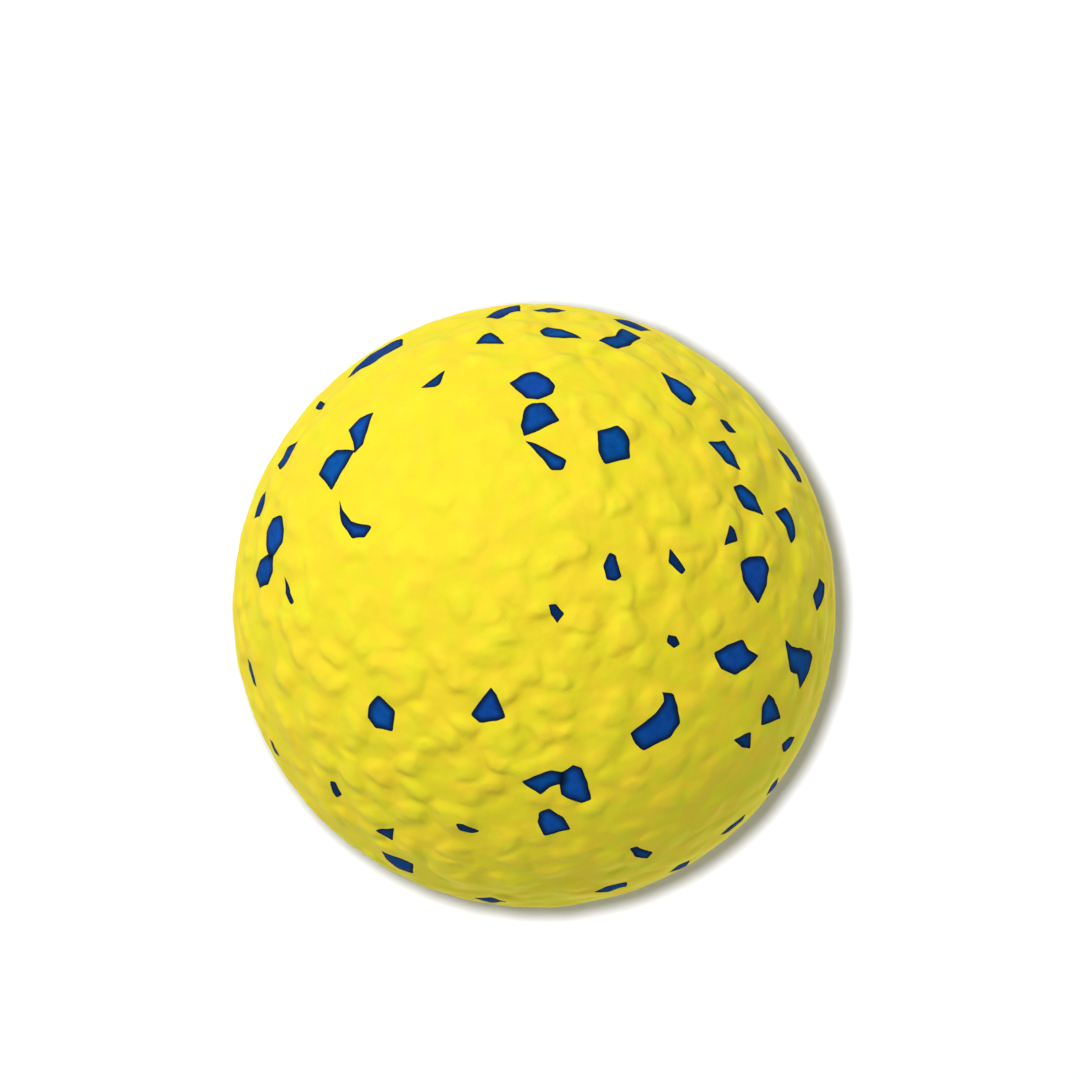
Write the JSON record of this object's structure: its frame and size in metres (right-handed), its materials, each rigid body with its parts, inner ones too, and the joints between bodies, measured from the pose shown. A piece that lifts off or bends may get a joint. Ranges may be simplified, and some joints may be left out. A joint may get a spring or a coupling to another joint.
{
  "type": "weighted dog ball",
  "caption": "Round rubber fetch ball: bonded yellow cover halves round a heavy core, with sharp-cornered blue flecks set flush in the surface.",
  "frame": {"origin": "centre of the ball", "axes": "+Z out of the pictured half, square to the seam between the cover halves; +Y up and +X right in the picture"},
  "size_m": [0.05, 0.05, 0.05],
  "materials": {
    "cover_rubber": "matte, pebbled",
    "fleck_rubber": "matte",
    "core_rubber": "matte, mineral-filled"
  },
  "bodies": {
    "root": {"upper_cover": "cover_rubber", "lower_cover": "cover_rubber", "weight_core": "core_rubber", "fleck_01": "fleck_rubber", "fleck_02": "fleck_rubber", "fleck_03": "fleck_rubber", "fleck_04": "fleck_rubber", "fleck_05": "fleck_rubber", "fleck_06": "fleck_rubber", "fleck_07": "fleck_rubber", "fleck_08": "fleck_rubber", "fleck_09": "fleck_rubber", "fleck_10": "fleck_rubber", "fleck_11": "fleck_rubber", "fleck_12": "fleck_rubber", "fleck_13": "fleck_rubber", "fleck_14": "fleck_rubber", "fleck_15": "fleck_rubber", "fleck_16": "fleck_rubber", "fleck_17": "fleck_rubber", "fleck_18": "fleck_rubber", "fleck_19": "fleck_rubber", "fleck_20": "fleck_rubber", "fleck_21": "fleck_rubber", "fleck_22": "fleck_rubber", "fleck_23": "fleck_rubber", "fleck_24": "fleck_rubber", "fleck_25": "fleck_rubber", "fleck_26": "fleck_rubber", "fleck_27": "fleck_rubber", "fleck_28": "fleck_rubber", "fleck_29": "fleck_rubber", "fleck_30": "fleck_rubber", "fleck_31": "fleck_rubber", "fleck_32": "fleck_rubber", "fleck_33": "fleck_rubber", "fleck_34": "fleck_rubber", "fleck_35": "fleck_rubber", "fleck_36": "fleck_rubber", "fleck_37": "fleck_rubber", "fleck_38": "fleck_rubber", "fleck_39": "fleck_rubber", "fleck_40": "fleck_rubber", "fleck_41": "fleck_rubber", "fleck_42": "fleck_rubber", "fleck_43": "fleck_rubber", "fleck_44": "fleck_rubber", "fleck_45": "fleck_rubber", "fleck_46": "fleck_rubber", "fleck_47": "fleck_rubber", "fleck_48": "fleck_rubber", "fleck_49": "fleck_rubber", "fleck_50": "fleck_rubber", "edge_flecks": "fleck_rubber", "lower_pole_flecks": "fleck_rubber", "lower_middle_flecks": "fleck_rubber", "lower_rim_flecks": "fleck_rubber"}
  },
  "joints": []
}
